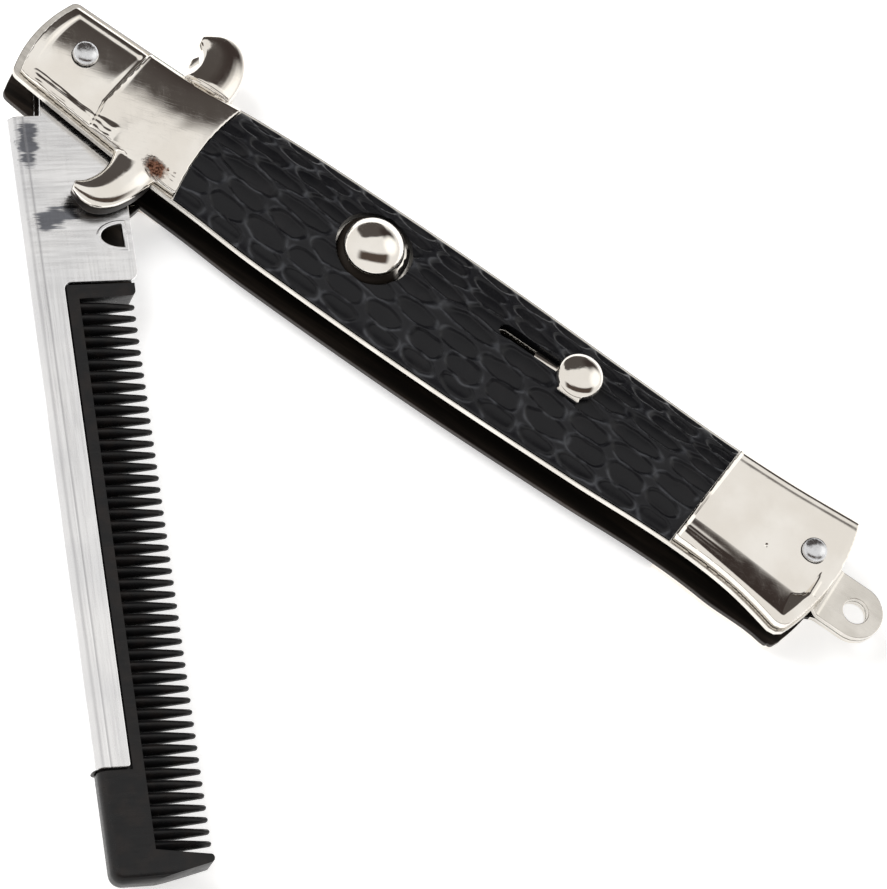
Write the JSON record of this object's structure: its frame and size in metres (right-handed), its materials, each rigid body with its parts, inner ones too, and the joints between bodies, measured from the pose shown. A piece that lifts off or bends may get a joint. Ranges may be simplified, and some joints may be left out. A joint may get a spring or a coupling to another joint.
{
  "type": "folding pocket comb",
  "caption": "Folding pocket comb in a slim handle with bright metal bolsters, horned guard, textured black scales, push button, safety slider and ring tab, shown half open.",
  "frame": {"origin": "on the back scale's flat face, midway between the two rivets", "axes": "+X from the comb's pivot towards the ring tab, +Y towards the handle's closed spine, +Z out of the front face with the button"},
  "size_m": [0.1357, 0.1061, 0.0163],
  "materials": {
    "nickel": "bright nickel plating",
    "liner": "nickel-plated sheet",
    "aluminium": "brushed",
    "rivet": "satin",
    "scale": "semi-gloss moulded texture",
    "comb": "satin"
  },
  "bodies": {
    "handle": {"front_liner": "liner", "back_liner": "liner", "back_spacer": "liner", "front_head_bolster": "nickel", "back_head_bolster": "nickel", "front_tail_bolster": "nickel", "back_tail_bolster": "nickel", "front_scale": "scale", "back_scale": "scale", "pivot_rivet": "rivet", "tail_rivet": "rivet"},
    "comb": {"comb_holder": "aluminium", "comb_teeth": "comb"},
    "button": {"push_button": "nickel"},
    "slider": {"safety_slider": "nickel"}
  },
  "joints": [
    {"name": "comb_hinge", "type": "hinge", "parent": "handle", "child": "comb", "pos_m": [-0.05775, 0, 0.00615], "axis": [0, 0, 1], "range_deg": [-130.3, 49.7]},
    {"name": "button_press", "type": "slide", "parent": "handle", "child": "button", "axis": [0, 0, -1], "range_m": [0, 0.0007], "stiffness_N_per_m": 1000},
    {"name": "slider_slide", "type": "slide", "parent": "handle", "child": "slider", "axis": [-1, 0, 0], "range_m": [0, 0.0055]}
  ]
}
